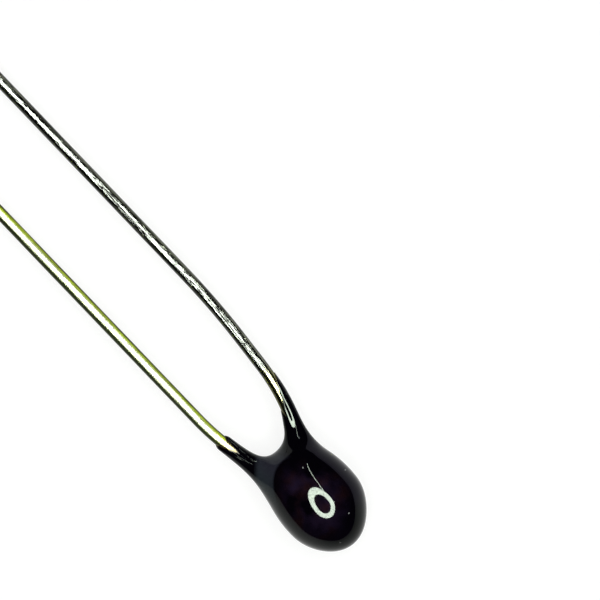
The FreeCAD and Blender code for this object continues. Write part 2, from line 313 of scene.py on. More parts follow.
class WirePath:
    """The middle line of one wire: straight stretches joined by round bends."""

    def __init__(self, corners, radii):
        self.corners = np.array(corners)
        self.radii = radii
        self.pieces = []
        start = self.corners[0]
        for number, radius in enumerate(radii):
            bend = Bend(*self.corners[number:number + 3], radius)
            self.pieces += [Straight(start, bend.start), bend]
            start = bend.end
        self.pieces.append(Straight(start, self.corners[-1]))

    def nearest(self, points):
        """Distances in the plane from points to the middle line, and the nearest points on it."""
        distances = np.full(len(points), np.inf)
        feet = np.zeros_like(points)
        for piece in self.pieces:
            found = piece.feet(points)
            away = np.linalg.norm(points - found, axis=1)
            closer = away < distances
            distances[closer] = away[closer]
            feet[closer] = found[closer]
        return distances, feet

    def stations(self, xs, step=0.01 * MM):
        """Points of the middle line at given X, and its directions there."""
        walked = np.concatenate([piece.walk(step) for piece in self.pieces])
        ys = np.interp(xs, walked[:, 0], walked[:, 1])
        ahead = np.interp(xs + step, walked[:, 0], walked[:, 1])
        directions = unit(np.stack([np.full_like(xs, step), ahead - ys], axis=1))
        return np.stack([xs, ys], axis=1), directions


def wire_a_path(wires):
    offset = wires.pair_offset + wires.pitch / 2
    corners = [
        (-wires.reach, offset),
        (-wires.a_first_bend, offset),
        (-wires.a_second_bend, offset - wires.a_draw_in),
        (-wires.a_seat_bend, wires.seat),
        (wires.past_middle, wires.seat),
    ]
    return WirePath(corners, [wires.a_first_radius, wires.a_second_radius, wires.a_seat_radius])


def wire_b_path(wires):
    offset = wires.pair_offset - wires.pitch / 2
    corners = [
        (-wires.reach, offset),
        (-wires.b_first_bend, offset),
        (-wires.b_seat_bend, -wires.seat),
        (wires.past_middle, -wires.seat),
    ]
    return WirePath(corners, [wires.b_first_radius, wires.b_seat_radius])


# Node trees

class Nodes:
    """Adds nodes to a tree, gives their inputs values or links, and sets them out in rows."""

    def __init__(self, tree):
        self.tree = tree
        self.count = 0

    def feed(self, node, inputs):
        """Links or sets a node's inputs."""
        for name, value in inputs.items():
            if isinstance(value, bpy.types.NodeSocket):
                self.tree.links.new(value, node.inputs[name])
            else:
                node.inputs[name].default_value = value

    def add(self, kind, inputs=None, **settings):
        node = self.tree.nodes.new(kind)
        node.location = (220 * (self.count % 8), -320 * (self.count // 8))
        self.count += 1
        for name, value in settings.items():
            setattr(node, name, value)
        self.feed(node, inputs or {})
        return node

    def made(self, kind, inputs=None, **settings):
        """The first output of a new node."""
        return self.add(kind, inputs, **settings).outputs[0]

    def math(self, operation, first, second=0.0, clamp=False):
        return self.made(
            "ShaderNodeMath", {0: first, 1: second}, operation=operation, use_clamp=clamp)

    def product(self, first, *others):
        for other in others:
            first = self.math("MULTIPLY", first, other)
        return first

    def vector(self, operation, first, second=(0.0, 0.0, 0.0)):
        return self.made("ShaderNodeVectorMath", {0: first, 1: second}, operation=operation)

    def scaled(self, vector, factor):
        return self.made(
            "ShaderNodeVectorMath", {0: vector, "Scale": factor}, operation="SCALE")

    def combined(self, x=0.0, y=0.0, z=0.0):
        return self.made("ShaderNodeCombineXYZ", {"X": x, "Y": y, "Z": z})

    def parted(self, vector):
        return self.add("ShaderNodeSeparateXYZ", {"Vector": vector}).outputs

    def spread(self, value, low, high, to_low=0.0, to_high=1.0):
        """A value's range from low to high, spread from to_low to to_high."""
        ranges = {"Value": value, "From Min": low, "From Max": high,
                  "To Min": to_low, "To Max": to_high}
        return self.made("ShaderNodeMapRange", ranges)

    def noise(self, vector, scale=1.0, detail=2.0, roughness=0.5):
        inputs = {"Vector": vector, "Scale": scale, "Detail": detail, "Roughness": roughness}
        return self.add("ShaderNodeTexNoise", inputs).outputs["Fac"]

    def mixed(self, factor, first, second):
        """Two colours mixed."""
        colours = {6: first, 7: second}
        for socket, value in colours.items():
            if not isinstance(value, bpy.types.NodeSocket):
                colours[socket] = (*value, 1.0)
        return self.add("ShaderNodeMix", {0: factor, **colours}, data_type="RGBA").outputs[2]


def emptied(owner):
    """The builder of a material's or a world's node tree, which it empties first."""
    owner.use_nodes = True
    owner.node_tree.nodes.clear()
    return Nodes(owner.node_tree)


def new_finish(name):
    """A material, its builder and its shader."""
    material = bpy.data.materials.new(name)
    nodes = emptied(material)
    shader = nodes.add("ShaderNodeBsdfPrincipled")
    nodes.add("ShaderNodeOutputMaterial", {"Surface": shader.outputs[0]})
    return material, nodes, shader


def bumped(nodes, shader, height, distance):
    """Lets a height pattern shade the surface."""
    bump = nodes.made("ShaderNodeBump", {"Height": height, "Strength": 1.0, "Distance": distance})
    nodes.feed(shader, {"Normal": bump})


# Wires

def drawn_wire_tree():
    """Sweeps a drawn wire along the corners that it is given, and finishes its cut end."""
    tree = bpy.data.node_groups.new("Drawn wire", "GeometryNodeTree")
    sockets = {
        "Geometry": ("Corners",),
        "Float": ("Radius", "Cut Rim", "Wander", "Wander Length",
                  "Streak Depth", "Streak Width", "Streak Length"),
        "Int": ("Rings", "Sides", "Bend Steps", "Seed"),
        "Material": ("Finish",),
    }
    for kind, names in sockets.items():
        for name in names:
            tree.interface.new_socket(name, in_out="INPUT", socket_type="NodeSocket" + kind)
    tree.interface.new_socket("Wire", in_out="OUTPUT", socket_type="NodeSocketGeometry")

    nodes = Nodes(tree)
    given = nodes.add("NodeGroupInput").outputs

    # Middle line: corners rounded to the radius that each one carries
    bend_radius = nodes.made("GeometryNodeInputNamedAttribute", {
        "Name": "bend_radius"}, data_type="FLOAT")
    cornered = nodes.made("GeometryNodeMeshToCurve", {"Mesh": given["Corners"]})
    rounded = nodes.made("GeometryNodeFilletCurve", {
        "Curve": cornered, "Count": given["Bend Steps"], "Radius": bend_radius}, mode="POLY")
    total = nodes.made("GeometryNodeCurveLength", {"Curve": rounded})

    # Rings crowd towards the cut end, where the rim is rounded
    last = nodes.math("SUBTRACT", given["Rings"], 1.0)
    number = nodes.made("GeometryNodeInputIndex")
    part_way = nodes.math("POWER", nodes.math("DIVIDE", number, last), 2.0)
    along = nodes.product(part_way, total)
    sampled = nodes.add("GeometryNodeSampleCurve", {
        "Curves": rounded, "Length": along}, mode="LENGTH")
    row = nodes.made("GeometryNodeMeshLine", {"Count": given["Rings"]})
    placed = nodes.made("GeometryNodeSetPosition", {
        "Geometry": row, "Position": sampled.outputs["Position"]})

    # The wires stray a little where nothing holds them
    held_until, free_from = 5.2 * MM, 9.0 * MM
    from_cut = nodes.spread(along, 0.0, nodes.product(given["Wander Length"], 2.0))
    to_bead = nodes.spread(nodes.math("SUBTRACT", total, along), held_until, free_from)
    held = nodes.product(from_cut, to_bead)
    wave_place = nodes.combined(nodes.math("DIVIDE", along, given["Wander Length"]), given["Seed"])
    wave = nodes.math("SUBTRACT", nodes.noise(wave_place, detail=1.0), 0.5)
    aside = nodes.combined(y=nodes.product(wave, 2.0, given["Wander"], held))
    strayed = nodes.made("GeometryNodeSetPosition", {"Geometry": placed, "Offset": aside})
    line = nodes.made("GeometryNodeMeshToCurve", {"Mesh": strayed})

    # Carried over from the middle line to the wire's surface
    kept = nodes.add("GeometryNodeCaptureAttribute", domain="POINT")
    kept.capture_items.new("VECTOR", "Middle")
    kept.capture_items.new("FLOAT", "Along")
    nodes.feed(kept, {
        "Geometry": line,
        "Middle": nodes.made("GeometryNodeInputPosition"),
        "Along": nodes.add("GeometryNodeSplineParameter").outputs["Length"]})

    # Radius, rounded at the cut end
    into_rim = nodes.math("SUBTRACT", given["Cut Rim"], kept.outputs["Along"])
    into_rim = nodes.math("MAXIMUM", into_rim, 0.0)
    drop = nodes.math("SUBTRACT", nodes.math("POWER", given["Cut Rim"], 2.0),
                      nodes.math("POWER", into_rim, 2.0))
    rim = nodes.math("SQRT", nodes.math("MAXIMUM", drop, 0.0))
    radius = nodes.math("ADD", nodes.math("SUBTRACT", given["Radius"], given["Cut Rim"]), rim)
    ring = nodes.made("GeometryNodeCurvePrimitiveCircle", {
        "Resolution": given["Sides"], "Radius": 1.0})
    swept = nodes.made("GeometryNodeCurveToMesh", {
        "Curve": kept.outputs["Geometry"], "Profile Curve": ring,
        "Scale": radius, "Fill Caps": True})

    # The place on the wire as if it were straight, for its marks and its finish
    position = nodes.made("GeometryNodeInputPosition")
    outward = nodes.vector("SUBTRACT", position, kept.outputs["Middle"])
    split = nodes.parted(outward)
    place = nodes.combined(kept.outputs["Along"], split["Y"], split["Z"])
    stored = nodes.made("GeometryNodeStoreNamedAttribute", {
        "Geometry": swept, "Name": "place_on_wire", "Value": place},
        data_type="FLOAT_VECTOR", domain="POINT")

    # Marks that the drawing die left
    mark_size = nodes.combined(
        given["Streak Length"], given["Streak Width"], given["Streak Width"])
    mark_place = nodes.vector("DIVIDE", place, mark_size)
    mark_place = nodes.vector("ADD", mark_place, nodes.combined(given["Seed"]))
    mark = nodes.math("SUBTRACT", nodes.noise(mark_place), 0.5)
    mark = nodes.product(mark, 2.0, given["Streak Depth"])
    marked = nodes.made("GeometryNodeSetPosition", {
        "Geometry": stored,
        "Offset": nodes.scaled(nodes.vector("NORMALIZE", outward), mark)})

    smooth = nodes.made("GeometryNodeSetShadeSmooth", {"Geometry": marked})
    real = nodes.made("GeometryNodeRealizeInstances", {"Geometry": smooth})
    finished = nodes.made("GeometryNodeSetMaterial", {
        "Geometry": real, "Material": given["Finish"]})
    nodes.add("NodeGroupOutput", {"Wire": finished})
    return tree


def wire_finish(name, colours, roughness, marks, seed):
    """Bare drawn metal with painted shade on both sides, a painted reflection line along one side,
    fine lines along it and torn flecks.
    """
    painted_shade, metal, painted_side_reflection = colours
    material, nodes, shader = new_finish(name)
    place = nodes.add("ShaderNodeAttribute", attribute_name="place_on_wire").outputs["Vector"]
    across = nodes.parted(place)["Y"]
    place = nodes.vector("ADD", place, (seed * MM, 0.0, 0.0))

    def pattern(long, wide, **look):
        return nodes.noise(nodes.vector("DIVIDE", place, (long, wide, wide)), **look)

    lines = pattern(1.8 * MM, 0.034 * MM, detail=3.0, roughness=0.65)
    band_wobble = pattern(1.1 * MM, 0.10 * MM, detail=3.0)
    flecks = pattern(0.22 * MM, 0.026 * MM, roughness=0.6)

    # Painted shade on both sides and a painted reflection line along one side, from one side of the
    # wire to the other
    across = nodes.math("ADD", across, nodes.spread(band_wobble, 0.3, 0.7, -0.012 * MM, 0.012 * MM))
    base = nodes.mixed(nodes.spread(across, -0.072 * MM, -0.044 * MM), painted_shade, metal)
    base = nodes.mixed(nodes.spread(across, 0.062 * MM, 0.098 * MM), base, painted_side_reflection)
    base = nodes.mixed(nodes.spread(across, 0.110 * MM, 0.130 * MM), base, painted_shade)
    in_mark = 1.0 - 0.99 * marks
    shade = nodes.spread(lines, 0.38, 0.55, in_mark, 1.0 + 0.5 * marks)
    torn = nodes.spread(flecks, 0.55, 0.61, 1.0, in_mark)
    marked = nodes.scaled(base, nodes.product(shade, torn))

    # Smoother and warmer where the dip has wetted it
    from_chip = nodes.parted(in_drawing_plane(nodes))["X"]
    wetted = nodes.spread(from_chip, -3.2 * MM, -2.7 * MM, 0.0, marks)
    warmer = nodes.vector("MULTIPLY", base, (1.7, 1.56, 0.88))
    nodes.feed(shader, {
        "Base Color": nodes.mixed(wetted, marked, warmer),
        "Metallic": 1.0,
        "Roughness": nodes.spread(lines, 0.3, 0.7, roughness - 0.05, roughness + 0.05)})
    heights = nodes.math("ADD", lines, nodes.product(flecks, 0.2))
    heights = nodes.product(heights, nodes.math("SUBTRACT", 1.0, wetted))
    mark_depth = 0.011 * MM * marks * marks
    bumped(nodes, shader, heights, mark_depth)
    return material


def swept_wire(name, path, wires, finish, marks, seed):
    """One wire as a plain mesh."""
    corners = np.column_stack([path.corners, np.zeros(len(path.corners))])
    start = bpy.data.meshes.new(name)
    edges = [(number, number + 1) for number in range(len(corners) - 1)]
    start.from_pydata(laid_at_rest(corners).tolist(), edges, [])
    radius = start.attributes.new("bend_radius", "FLOAT", "POINT")
    radius.data.foreach_set("value", [0.0, *path.radii, 0.0])
    wire = bpy.data.objects.new(name, start)
    bpy.context.collection.objects.link(wire)
    sweep = wire.modifiers.new("Drawn wire", "NODES")
    sweep.node_group = bpy.data.node_groups.get("Drawn wire") or drawn_wire_tree()
    set_inputs(sweep, {
        "Radius": wires.diameter / 2, "Cut Rim": wires.cut_rim,
        "Wander": wires.wander, "Wander Length": wires.wander_length,
        "Streak Depth": wires.streak_depth * marks, "Streak Width": wires.streak_width,
        "Streak Length": wires.streak_length,
        "Rings": wires.rings, "Sides": wires.sides, "Bend Steps": wires.bend_steps,
        "Seed": seed, "Finish": finish,
    })
    make_plain(wire)
    return wire


def set_inputs(modifier, values):
    """Sets a node modifier's inputs, found by their names, through their identifiers."""
    for item in modifier.node_group.interface.items_tree:
        if item.item_type == "SOCKET" and item.in_out == "INPUT" and item.name in values:
            modifier[item.identifier] = values[item.name]


def make_plain(piece):
    """Turns what a piece's modifiers make into its own mesh."""
    evaluated = piece.evaluated_get(bpy.context.evaluated_depsgraph_get())
    mesh = bpy.data.meshes.new_from_object(evaluated)
    mesh.name = piece.name
    piece.modifiers.clear()
    piece.data = mesh


def mesh_piece(name, points, faces, finish):
    """An object at the origin whose place is in its mesh."""
    mesh = bpy.data.meshes.new(name)
    mesh.from_pydata(points.tolist(), [], faces)
    mesh.shade_smooth()
    mesh.materials.append(finish)
    mesh.update()
    piece = bpy.data.objects.new(name, mesh)
    bpy.context.collection.objects.link(piece)
    return piece


# Epoxy

def run_together(first, second, width):
    """The smaller of two distances, rounded where they come within the width of each other."""
    closeness = np.maximum(width - np.abs(first - second), 0.0) / width
    return np.minimum(first, second) - closeness ** 3 * width / 6


def eased(parts):
    """Parts between 0 and 1 that start and end gently."""
    parts = np.clip(parts, 0.0, 1.0)
    return parts * parts * (3 - 2 * parts)


class Neck:
    """The epoxy on one wire, with the settings that begin with the wire's letter."""

    def __init__(self, letter, path, side, wires, coating):
        self.letter = letter
        self.path = path
        self.side = side
        self.wire_radius = wires.diameter / 2
        self.coating = coating

    def given(self, name):
        return getattr(self.coating, f"{self.letter}_{name}")

    def nearest(self, points):
        """How far points lie off the wire's middle line, and the nearest points on it."""
        in_plane, feet = self.path.nearest(points[:, :2])
        return np.hypot(in_plane, points[:, 2]), feet

    def distance(self, points):
        off_line, feet = self.nearest(points)
        growth = self.given("taper") * np.maximum(feet[:, 0] + self.given("reach"), 0.0)
        return off_line - self.wire_radius - self.given("edge") - growth

    def thinned(self, points):
        """Thins the skin out where the epoxy starts, and returns its thickness too."""
        lean, tongue, feather = self.given("lean"), self.given("tongue"), self.given("feather")
        off_line, feet = self.nearest(points)
        outward = (points[:, 1] - feet[:, 1]) * self.side / np.maximum(off_line, 1e-9)
        to_outer = np.clip((outward - lean) / (1 - lean), 0.0, 1.0)
        to_inner = np.clip((lean - outward) / (1 + lean), 0.0, 1.0)
        start = tongue + (self.given("outer_start") - tongue) * np.sqrt(to_outer)
        start = start + (self.given("inner_start") - tongue) * np.sqrt(to_inner)
        aside = np.maximum(to_outer, to_inner)
        feather = feather + (self.given("side_feather") - feather) * aside
        film_length = self.given("film") * (1 - aside) + 0.001 * MM
        past_start = feet[:, 0] + start
        film = np.clip(past_start / film_length, 0.0, 1.0) * self.coating.film_depth
        grown = np.clip((past_start - film_length) / feather, 0.0, 1.0)
        thin = self.wire_radius - self.coating.tuck + film
        radius = thin + (off_line - thin) * grown * (2 - grown)
        middles = np.column_stack([feet, np.zeros(len(feet))])
        moved = middles + (points - middles) * (radius / off_line)[:, None]
        return moved, radius - self.wire_radius, off_line


class Epoxy:
    """The smooth outside of the epoxy in the drawing plane."""

    def __init__(self, wires, coating):
        self.wires = wires
        self.coating = coating
        self.necks = (Neck("a", wire_a_path(wires), 1.0, wires, coating),
                      Neck("b", wire_b_path(wires), -1.0, wires, coating))
        centre = np.array([-coating.crotch_centre])
        on_a, on_b = (neck.path.stations(centre)[0] for neck in self.necks)
        self.crotch = ((on_a + on_b) / 2)[0]
        self.feet = [neck.path.nearest(self.crotch[None])[1][0] for neck in self.necks]

    def drop_distance(self, points):
        coating = self.coating
        x = points[:, 0] - coating.forward
        y = points[:, 1] + coating.sideways
        cosine, sine = math.cos(coating.turn), math.sin(coating.turn)
        halves = np.array([coating.half_length, coating.half_width, coating.half_thickness])
        scaled = np.stack([x * cosine - y * sine, y * cosine + x * sine, points[:, 2]], axis=1)
        scaled = scaled / halves
        reach = np.linalg.norm(scaled, axis=1)
        steepness = np.linalg.norm(scaled / halves, axis=1)
        return reach * (reach - 1.0) / np.maximum(steepness, 1e-9)

    def distance(self, points):
        """Roughly how far points lie outside the epoxy, negative inside it."""
        neck_a, neck_b = (neck.distance(points) for neck in self.necks)
        both = run_together(neck_a, neck_b, self.coating.crotch)
        return run_together(self.drop_distance(points), both, self.coating.shoulder)

    def ways_out(self, inside, directions, beyond, rounds=24):
        """How far the surface lies from points in the epoxy, if it is nearer than beyond."""
        near = np.zeros(len(inside))
        far = np.broadcast_to(beyond, near.shape).copy()
        for _ in range(rounds):
            middle = (near + far) / 2
            within = self.distance(inside + directions * middle[:, None]) < 0
            near = np.where(within, middle, near)
            far = np.where(within, far, middle)
        return near

    def spans(self, headings):
        """Where level rays from the crotch enter the epoxy, and where they leave it."""
        across = np.stack([np.cos(headings), np.sin(headings), 0 * headings], axis=1)
        longest = 5.0 * MM
        steps = np.arange(0.0, longest, self.wires.diameter / 8)
        start = np.append(self.crotch, 0.0)
        points = start + across[:, None] * steps[:, None]
        shape = points.shape[:2]
        within = (self.distance(points.reshape(-1, 3)) < 0).reshape(shape)
        first = within.argmax(axis=1)
        beyond = ~within & (np.arange(shape[1]) > first[:, None])
        last = beyond.argmax(axis=1) - 1
        step = steps[1]
        back = self.ways_out(start + across * steps[first][:, None], -across, step)
        onward = self.ways_out(start + across * steps[last][:, None], across, step)
        return across, steps[first] - back, steps[last] + onward

    def outlines(self, insides, across, half_lengths, half_heights):
        """Closed curves in which upright planes along across cut the epoxy, one row for each."""
        count = self.coating.outline_points
        angles = 2 * math.pi * np.arange(count) / count
        along = np.cos(angles)[None, :, None] * half_lengths[:, None, None]
        upward = np.sin(angles)[None, :, None] * half_heights[:, None, None]
        spokes = across[:, None] * along + np.array([0.0, 0.0, 1.0]) * upward
        spokes = spokes.reshape(-1, 3)
        beyond = 2 * np.linalg.norm(spokes, axis=1) + self.wires.diameter
        starts = np.repeat(insides, count, axis=0)
        directions = unit(spokes)
        found = starts + directions * self.ways_out(starts, directions, beyond)[:, None]
        return found.reshape(len(insides), count, 3)

    def neck_rows(self, neck, foot):
        """Outlines square to a wire, from the epoxy's end to where the fan begins."""
        count = self.coating.neck_outlines
        reach = neck.given("reach")
        xs = -reach + (foot[0] + reach) * np.arange(count) / count
        middles, directions = neck.path.stations(xs)
        flat = np.zeros(count)
        across = np.stack([-directions[:, 1], directions[:, 0], flat], axis=1) * neck.side
        insides = np.column_stack([middles, flat])
        halves = np.full(count, self.wires.diameter / 2)
        return self.outlines(insides, across, halves, halves)

    def fan_rows(self, tried=400):
        """Outlines in upright planes that turn about the crotch, from one neck to the other."""
        first, last = (math.atan2(*(foot - self.crotch)[::-1]) for foot in self.feet)
        headings = np.linspace(first, last, tried)
        across, _, leave = self.spans(headings)
        rim = across * leave[:, None]
        travelled = np.append(0.0, np.cumsum(np.linalg.norm(np.diff(rim, axis=0), axis=1)))
        wanted = np.linspace(0.0, travelled[-1], self.coating.fan_outlines)
        across, entry, leave = self.spans(np.interp(wanted, travelled, headings))
        half_lengths = (leave - entry) / 2
        insides = np.append(self.crotch, 0.0) + across * (entry + half_lengths)[:, None]
        half_heights = np.minimum(half_lengths, self.coating.half_thickness)
        return self.outlines(insides, across, half_lengths, half_heights)

    def skin(self):
        """The skin's rows of points, and the thickness of the epoxy over the wires at each."""
        coating = self.coating
        along_a, along_b = map(self.neck_rows, self.necks, self.feet)
        rows = np.concatenate([along_a, self.fan_rows(), along_b[::-1]])
        points = rows.reshape(-1, 3)
        thinned_a, thinned_b = (neck.thinned(points) for neck in self.necks)
        by_a, over_a, from_a = thinned_a
        by_b, over_b, from_b = thinned_b
        nearer_a = from_a < from_b
        points = np.where(nearer_a[:, None], by_a, by_b)
        to_knee = (points[:, 0] + coating.a_reach) / (coating.a_reach - coating.a_knee)
        past_knee = (-coating.a_knee_end - points[:, 0]) / (coating.a_knee - coating.a_knee_end)
        on_a = (from_b - from_a) / coating.crotch
        flatter = coating.a_flatness * eased(to_knee) * eased(past_knee) * eased(on_a)
        points[:, 2] *= 1 - flatter
        thickness = np.where(nearer_a, over_a, over_b)
        return points.reshape(rows.shape), thickness


def tube_faces(rows, around):
    """Quads between rows of points, and the two rows' own faces at the ends."""
    faces = []
    for row in range(rows - 1):
        for place in range(around):
            following = (place + 1) % around
            here, there = row * around, (row + 1) * around
            faces.append((here + place, here + following, there + following, there + place))
    faces.append(tuple(reversed(range(around))))
    faces.append(tuple(range((rows - 1) * around, rows * around)))
    return faces


def enclosed_volume(points, faces):
    """Six times the volume that quads enclose, negative if they face inwards."""
    quads = points[np.array([face for face in faces if len(face) == 4])]
    first = np.einsum("ij,ij->i", quads[:, 0], np.cross(quads[:, 1], quads[:, 2]))
    second = np.einsum("ij,ij->i", quads[:, 0], np.cross(quads[:, 2], quads[:, 3]))
    return (first + second).sum()


def in_drawing_plane(nodes):
    """A point of a finish in the drawing plane's own directions, from the middle of the chip."""
    to_plane = drawing_plane().inverted()
    place = nodes.add("ShaderNodeTexCoord").outputs["Object"]
    return nodes.made("ShaderNodeMapping", {
        "Vector": place, "Location": to_plane.translation, "Rotation": to_plane.to_euler()})


def epoxy_finish(coating):
    """Glossy black epoxy: violet over the chip, a painted reflection of the table in the web,
    painted shade on its reflections at the tip and on one flank, amber where it thins out.
    """
    material, nodes, shader = new_finish("Black epoxy")
    place = in_drawing_plane(nodes)
    along, across, _ = nodes.parted(place)
    thickness = nodes.add("ShaderNodeAttribute", attribute_name="epoxy_thickness").outputs["Fac"]

    # Over the chip and its joints
    face_middle = (0.10 * MM, -0.03 * MM, 0.0)
    half_along, half_across = 1.33 * MM, 0.85 * MM
    face = nodes.vector("SUBTRACT", place, face_middle)
    face = nodes.vector("MULTIPLY", face, (1 / half_along, 1 / half_across, 0.0))
    from_middle = nodes.add("ShaderNodeVectorMath", {0: face}, operation="LENGTH").outputs["Value"]
    patches = nodes.spread(nodes.noise(place, scale=1300.0, detail=3.0), 0.36, 0.62)
    warmth = nodes.spread(nodes.noise(place, scale=2100.0, detail=2.0), 0.44, 0.64)
    over_chip = nodes.mixed(warmth, coating.violet, coating.maroon)
    patches = nodes.product(patches, nodes.spread(from_middle, 0.45, 0.98, 0.9, 0.0),
                            nodes.spread(along, 0.1 * MM, 0.9 * MM, 1.0, 0.2))
    tinted = nodes.mixed(patches, coating.black, over_chip)

    # Painted reflection of the table in the web, from the crotch to the outer side of neck b
    slant = 0.92
    past_neck = nodes.math("ADD", along, nodes.product(across, slant))
    painted_web_reflection = nodes.product(
        nodes.spread(from_middle, 0.98, 1.03),
        nodes.spread(past_neck, -2.15 * MM, -1.98 * MM),
        nodes.spread(along, -1.10 * MM, -0.40 * MM, 1.0, 0.0),
        nodes.spread(across, 0.0, 0.25 * MM, 1.0, 0.0))
    outward = nodes.spread(across, -0.80 * MM, -0.30 * MM)
    tinted = nodes.mixed(painted_web_reflection, tinted, nodes.mixed(outward, coating.painted_reflection_teal, coating.painted_reflection_blush))

    # Thin on the wires
    uneven = nodes.spread(nodes.noise(place, scale=5000.0, detail=2.0), 0.3, 0.7, 0.7, 1.3)
    depth = nodes.product(thickness, uneven)
    thin_colour = nodes.mixed(
        nodes.spread(depth, 0.002 * MM, 0.011 * MM), coating.straw, coating.amber)
    clouded = nodes.spread(depth, 0.003 * MM, 0.017 * MM)
    on_a = nodes.spread(across, 0.1 * MM, 0.3 * MM)
    thin_colour = nodes.mixed(on_a, thin_colour, coating.a_straw)
    base = nodes.mixed(clouded, thin_colour, tinted)

    # Specks of dust
    cells = nodes.add("ShaderNodeTexVoronoi", {"Vector": place, "Scale": 2600.0},
                      voronoi_dimensions="2D")
    chosen = nodes.add("ShaderNodeSeparateColor", {"Color": cells.outputs["Color"]}).outputs
    speck_size, cells_without = 0.045, 0.85
    dust = nodes.product(nodes.math("LESS_THAN", cells.outputs["Distance"], speck_size),
                         nodes.math("GREATER_THAN", chosen[0], cells_without))
    base = nodes.mixed(nodes.product(dust, chosen[1]), base, coating.dust)

    # Metal shows through a film, and smudges vary the shine. The tints paint shade on the
    # reflections: dimmer and bluish on the flank towards wire a, dimmer at the tip
    metal_under = nodes.spread(depth, 0.004 * MM, 0.017 * MM, 1.0, 0.0)
    smudges = nodes.noise(place, scale=2600.0, detail=5.0, roughness=0.65)
    skin = nodes.spread(smudges, 0.35, 0.75, coating.roughness * 0.7, coating.roughness * 1.8)
    # Painted shade on the reflections of the flank towards wire a
    flank_shade_mask = nodes.product(nodes.spread(across, 0.35 * MM, 0.75 * MM),
                              nodes.spread(along, -1.5 * MM, -1.1 * MM))
    tint = nodes.mixed(flank_shade_mask, coating.gleam, coating.painted_flank_shade)
    tint = nodes.mixed(nodes.spread(along, 0.60 * MM, 1.05 * MM), tint, coating.painted_tip_shade)
    nodes.feed(shader, {
        "Base Color": base, "Metallic": metal_under, "IOR": coating.ior, "Specular Tint": tint,
        "Roughness": nodes.math("ADD", skin, nodes.product(metal_under, 0.20))})

    ripple = nodes.noise(place, scale=2200.0, detail=2.0)
    heights = nodes.math("ADD", ripple, nodes.product(dust, 3.0))
    bumped(nodes, shader, heights, 0.0015 * MM)
    return material


# Finish of the pieces inside the bead

def grainy_finish(name, scale, detail, roughness, contrast, colours, rough, metallic, depth):
    """A surface whose colour, roughness and height follow one fine grain."""
    material, nodes, shader = new_finish(name)
    place = nodes.add("ShaderNodeTexCoord").outputs["Object"]
    grain = nodes.noise(place, scale, detail, roughness)
    limits = (0.5 - contrast, 0.5 + contrast)
    nodes.feed(shader, {
        "Base Color": nodes.mixed(nodes.spread(grain, *limits), *colours),
        "Roughness": nodes.spread(grain, *limits, *rough), "Metallic": metallic})
    bumped(nodes, shader, grain, depth)
    return material


# Stage

def turned_mesh(name, profile, steps, finish):
    """A surface turned about the upright axis from radii and heights."""
    around = 2 * math.pi * np.arange(steps) / steps
    points = [(radius * math.cos(a), radius * math.sin(a), height)
              for radius, height in profile for a in around]
    faces = tube_faces(len(profile), steps)[:-2]
    return mesh_piece(name, np.array(points), faces, finish)


def seen_by_reflections(nodes):
    """One for rays that the camera sends, straight or by way of metal and glass."""
    path = nodes.add("ShaderNodeLightPath")
    seen = nodes.math("ADD", path.outputs["Is Camera Ray"], path.outputs["Is Glossy Ray"])
    return nodes.math("ADD", seen, path.outputs["Is Transmission Ray"], clamp=True)


def table_finish(stage):
    """Pure white to the eye, with the part's shadow left on it."""
    material = bpy.data.materials.new("White table")
    nodes = emptied(material)
    plain, shadowed = (
        nodes.made("ShaderNodeBsdfDiffuse", {"Color": (grey, grey, grey, 1.0)})
        for grey in (stage.table_grey, stage.shadow_grey))
    white = nodes.made("ShaderNodeEmission", {
        "Color": (1.0, 1.0, 1.0, 1.0), "Strength": stage.table_glow})
    shown = nodes.made("ShaderNodeAddShader", {0: shadowed, 1: white})
    chosen = nodes.made("ShaderNodeMixShader", {
        "Fac": seen_by_reflections(nodes), 1: plain, 2: shown})
    nodes.add("ShaderNodeOutputMaterial", {"Surface": chosen})
    return material


def lamp_finish(name, tint, strength):
    """Light from a ring of small lamps behind a diffuser, a little uneven."""
    material = bpy.data.materials.new(name)
    nodes = emptied(material)
    place = nodes.add("ShaderNodeTexCoord").outputs["Object"]
    uneven = nodes.spread(nodes.noise(place, scale=420.0, detail=3.0), 0.3, 0.7, 0.6, 1.4)
    light = nodes.made("ShaderNodeEmission", {
        "Color": (*tint, 1.0), "Strength": nodes.product(uneven, strength)})
    nodes.add("ShaderNodeOutputMaterial", {"Surface": light})
    return material


def hide_from(lamp, *kinds):
    """Hides a lamp from some kinds of rays."""
    for kind in kinds:
        setattr(lamp, "visible_" + kind, False)


def ring_lamp(name, stage, finish):
    """A flat ring over the part, which the camera looks through."""
    profile = [(stage.ring_inner, 0.0), (stage.ring_outer, 0.0)]
    lamp = turned_mesh(name, profile, stage.steps, finish)
    place = drawing_plane() @ Vector((stage.ring_ahead, stage.ring_aside, 0.0))
    lamp.data.transform(Matrix.Translation((place.x, place.y, place.z + stage.ring_height)))
    hide_from(lamp, "camera", "shadow")
    return lamp


def lamp_cord(stage, finish, count=80, waves=6.5):
    """The ring lamp's cord, which shows as one fine bright line in what is glossy."""
    part_way = np.linspace(0.0, 1.0, count)
    travelled = stage.cord_length * part_way
    bow = -stage.cord_sag * np.sin(math.pi * part_way)
    bow = bow + stage.cord_wave * np.sin(2 * waves * math.pi * part_way)
    start = (stage.ring_ahead + stage.ring_outer * math.cos(stage.cord_place),
             stage.ring_aside + stage.ring_outer * math.sin(stage.cord_place))
    cosine, sine = math.cos(stage.cord_heading), math.sin(stage.cord_heading)
    rows = []
    for aside in (bow - stage.cord_width / 2, bow + stage.cord_width / 2):
        rows.append(np.column_stack([
            start[0] + travelled * cosine + aside * sine,
            start[1] + travelled * sine - aside * cosine]))
    points = np.column_stack([np.concatenate(rows), np.full(2 * count, stage.ring_height)])
    faces = [(n, n + 1, count + n + 1, count + n) for n in range(count - 1)]
    cord = mesh_piece("lamp_cord", points + np.array(drawing_plane().translation), faces, finish)
    hide_from(cord, "camera", "shadow", "diffuse")


